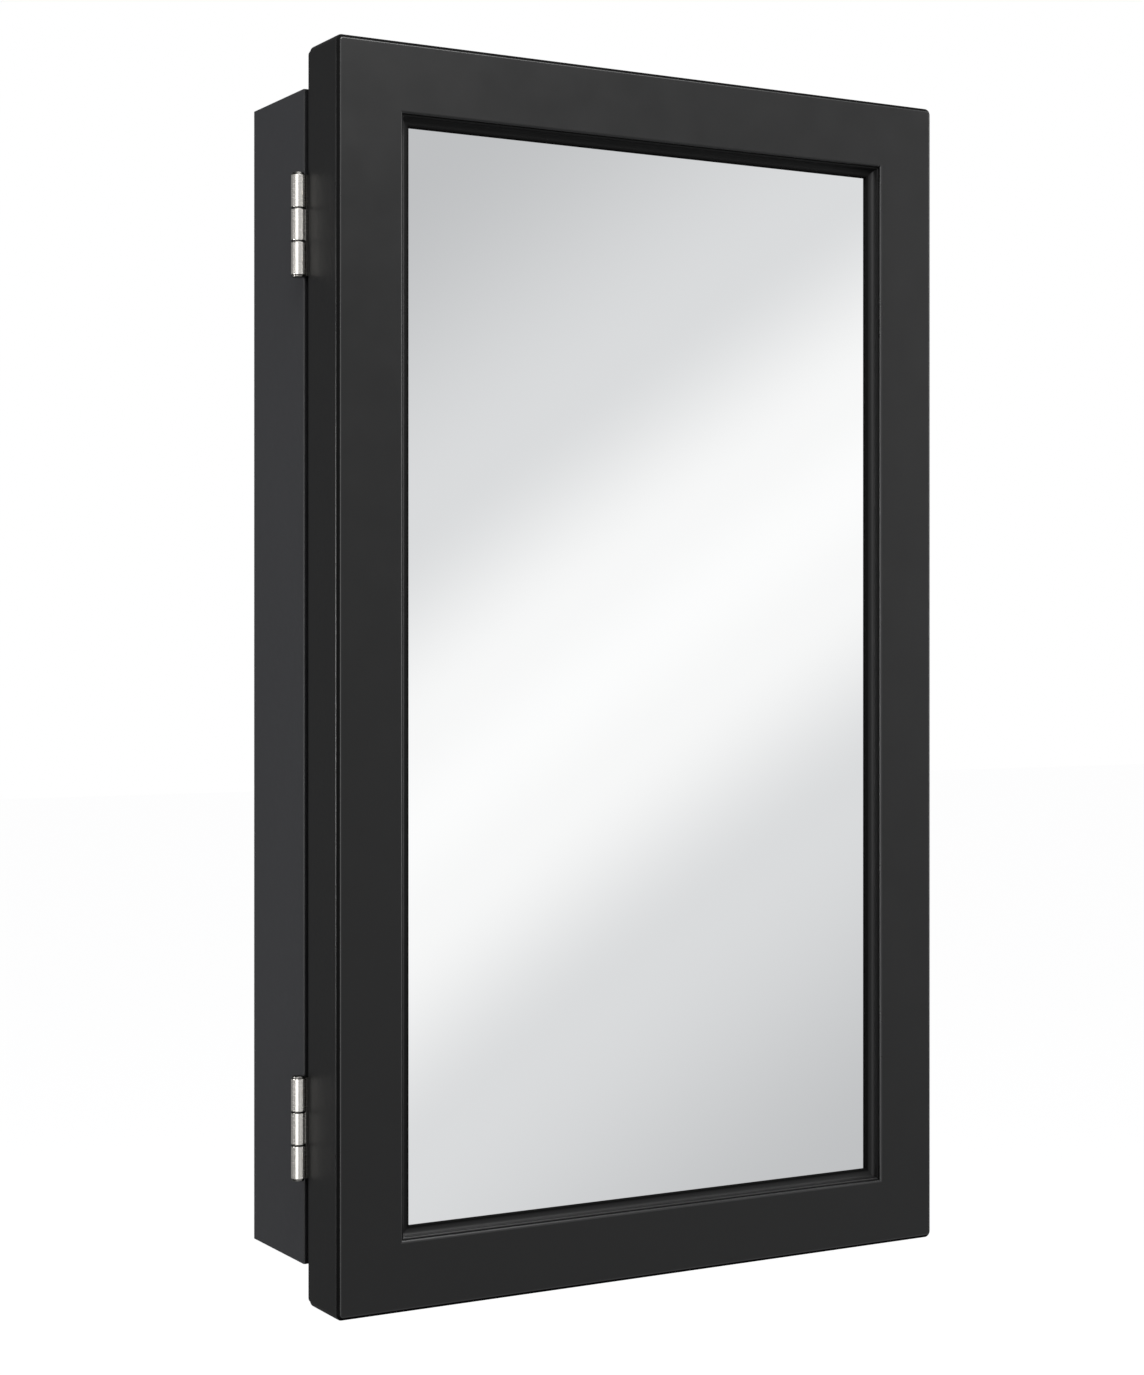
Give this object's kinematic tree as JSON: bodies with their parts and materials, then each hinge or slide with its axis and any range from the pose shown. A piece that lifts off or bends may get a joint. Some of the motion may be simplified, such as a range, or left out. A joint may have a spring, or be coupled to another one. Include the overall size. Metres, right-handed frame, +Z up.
{
  "type": "medicine cabinet",
  "caption": "Wall-hung medicine cabinet with a mirrored, mitre-framed charcoal door on knuckled butt hinges, adjustable shelves and a magnetic catch.",
  "frame": {"origin": "on the wall plane, at the centre of the four holes that hang the cabinet", "axes": "+X to the right as seen from the room, +Y into the wall, +Z up; the mirror faces -Y"},
  "size_m": [0.3886, 0.11, 0.6604],
  "materials": {
    "satin_black_paint": "satin charcoal paint on moulded wood",
    "carcass_paint": "satin charcoal paint on fibreboard",
    "back_board": "charcoal face, plain hardboard behind",
    "raw_fibreboard": "unpainted fibreboard",
    "beech": "plain beech",
    "mirror": "clear silvered glass",
    "satin_nickel": "satin nickel plate",
    "zinc_screw": "zinc plated",
    "black_plastic": "moulded, matt",
    "ferrite": "sintered ferrite magnet",
    "bumper_rubber": "soft pad"
  },
  "bodies": {
    "cabinet": {"back_panel": "back_board", "back_panel_staples": "zinc_screw", "bottom_panel": "carcass_paint", "catch_housing": "black_plastic", "catch_magnet": "ferrite", "catch_pole_plates": "zinc_screw", "catch_screws": "zinc_screw", "door_bumpers": "bumper_rubber", "hanging_rail_lower": "carcass_paint", "hanging_rail_upper": "carcass_paint", "hinge_leaf_cabinet_lower": "satin_nickel", "hinge_leaf_cabinet_upper": "satin_nickel", "hinge_pin_lower": "satin_nickel", "hinge_pin_upper": "satin_nickel", "hinge_screws_cabinet_lower": "satin_nickel", "hinge_screws_cabinet_upper": "satin_nickel", "shelf_lower": "carcass_paint", "shelf_pins_lower": "satin_nickel", "shelf_pins_upper": "satin_nickel", "shelf_upper": "carcass_paint", "side_panel_left": "carcass_paint", "side_panel_right": "carcass_paint", "top_panel": "carcass_paint"},
    "door": {"door_back_panel": "satin_black_paint", "door_back_staples": "zinc_screw", "door_rail_bottom": "satin_black_paint", "door_rail_top": "satin_black_paint", "door_stile_left": "satin_black_paint", "door_stile_right": "satin_black_paint", "glazing_bead_bottom": "raw_fibreboard", "glazing_bead_left": "raw_fibreboard", "glazing_bead_right": "raw_fibreboard", "glazing_bead_top": "raw_fibreboard", "hinge_leaf_door_lower": "satin_nickel", "hinge_leaf_door_upper": "satin_nickel", "hinge_screws_door_lower": "satin_nickel", "hinge_screws_door_upper": "satin_nickel", "mirror_backing_board": "raw_fibreboard", "mirror_glass": "mirror", "mitre_splines": "beech", "strike_plate": "zinc_screw", "strike_screws": "zinc_screw"}
  },
  "joints": [
    {"name": "door_hinge", "type": "hinge", "parent": "cabinet", "child": "door", "pos_m": [-0.1945, -0.0695, 0], "axis": [0, 0, -1], "range_deg": [0, 180]}
  ]
}
